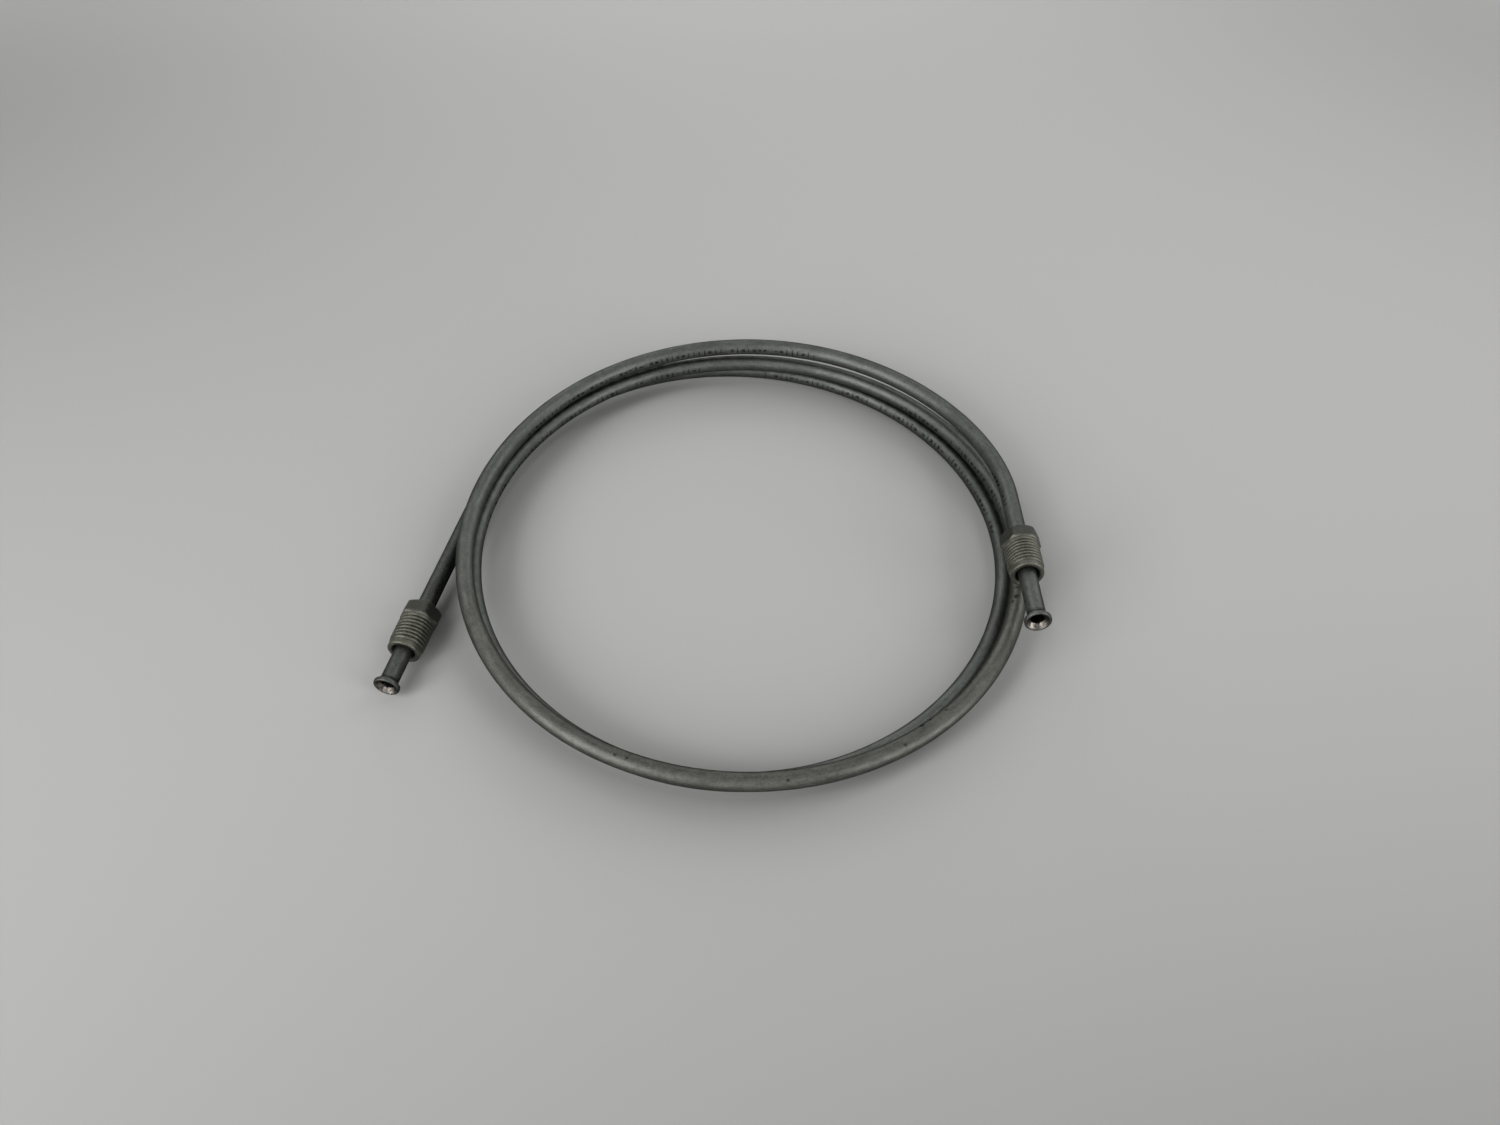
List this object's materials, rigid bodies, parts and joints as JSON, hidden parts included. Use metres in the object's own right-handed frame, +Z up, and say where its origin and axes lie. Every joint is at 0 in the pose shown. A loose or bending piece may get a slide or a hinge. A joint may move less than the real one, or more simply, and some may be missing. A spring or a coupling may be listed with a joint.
{
  "type": "brake line",
  "caption": "Coiled steel brake line: hollow tube wound into a flat ring, both ends flared, each with a loose hexagonal tube nut that slides along the straight end.",
  "frame": {"origin": "on the floor under the middle of the box around the whole line at rest", "axes": "+Z up out of the flat coil, +X from the left end's side to the right end's side, -Y the way both ends point"},
  "size_m": [0.1744, 0.1592, 0.0235],
  "materials": {
    "tube_steel": "satin galvanised steel, grey with a slight green tint",
    "nut_zinc": "satin zinc plate, light warm grey"
  },
  "bodies": {
    "line": {"brake_tube": "tube_steel"},
    "left_nut": {"tube_nut_left": "nut_zinc"},
    "right_nut": {"tube_nut_right": "nut_zinc"}
  },
  "joints": [
    {"name": "left_nut_slide", "type": "slide", "parent": "line", "child": "left_nut", "axis": [-0.2011, -0.9796, 0], "range_m": [-0.019, 0.0097]},
    {"name": "right_nut_slide", "type": "slide", "parent": "line", "child": "right_nut", "axis": [-0.0051, -0.997, 0.0778], "range_m": [-0.0155, 0.0148]}
  ]
}
